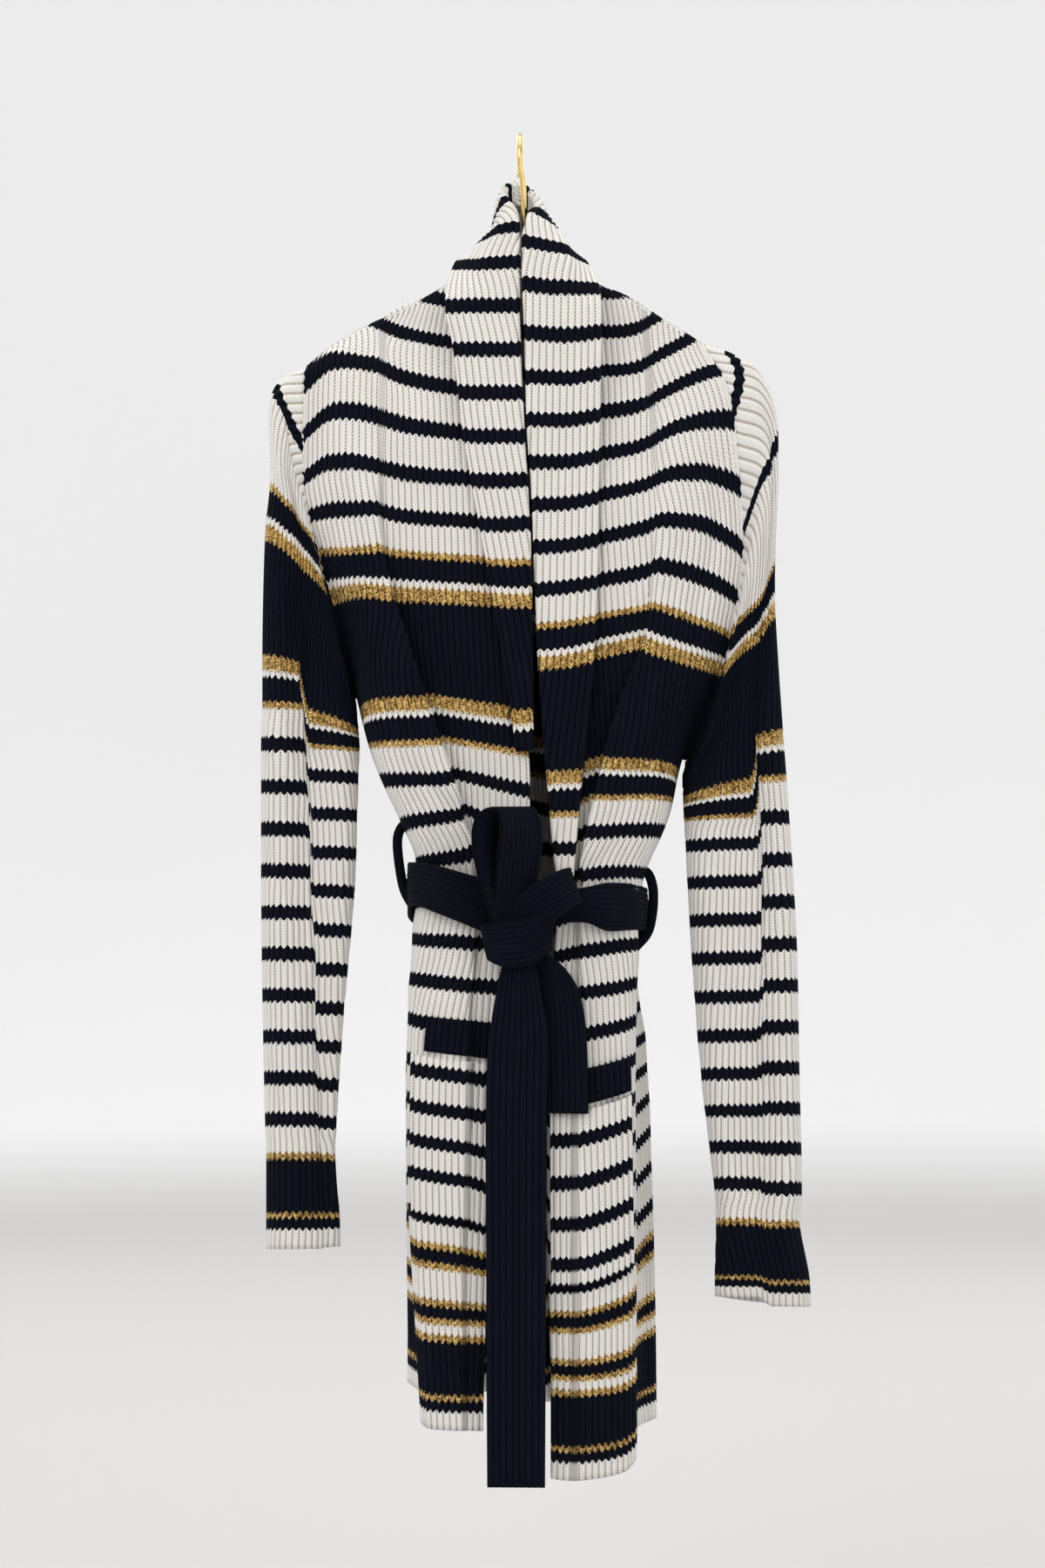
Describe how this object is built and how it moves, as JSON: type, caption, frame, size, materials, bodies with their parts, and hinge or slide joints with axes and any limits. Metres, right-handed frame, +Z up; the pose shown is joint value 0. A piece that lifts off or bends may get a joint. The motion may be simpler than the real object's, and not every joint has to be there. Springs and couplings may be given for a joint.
{
  "type": "cardigan coat on a hanger",
  "caption": "Long ribbed knit cardigan coat with striped bands, shawl collar, patch pockets and a tied belt, hanging on a hanger with a wire hook.",
  "frame": {"origin": "where the top of the hook's bend bears on a rail, which runs along X", "axes": "+X to the right as seen from the front, +Z up, the coat faces -Y"},
  "size_m": [0.4278, 0.1892, 1.0416],
  "materials": {
    "knit": "ribbed knit, ecru striped with navy and metallic gold yarn",
    "navy_knit": "ribbed knit, navy",
    "hanger_wood": "satin varnish",
    "hook_brass": "polished"
  },
  "bodies": {
    "root": {"back": "knit", "front_left": "knit", "front_right": "knit", "collar_left": "knit", "collar_right": "knit", "sleeve_left": "knit", "sleeve_right": "knit", "pocket_left": "knit", "pocket_right": "knit", "pocket_band_left": "navy_knit", "pocket_band_right": "navy_knit", "belt_band": "navy_knit", "belt_knot": "navy_knit", "belt_wing": "navy_knit", "belt_bow": "navy_knit", "belt_tail_long": "navy_knit", "belt_tail_short": "navy_knit", "belt_loop_left": "navy_knit", "belt_loop_right": "navy_knit", "hanger_body": "hanger_wood", "hanger_hook": "hook_brass"}
  },
  "joints": []
}
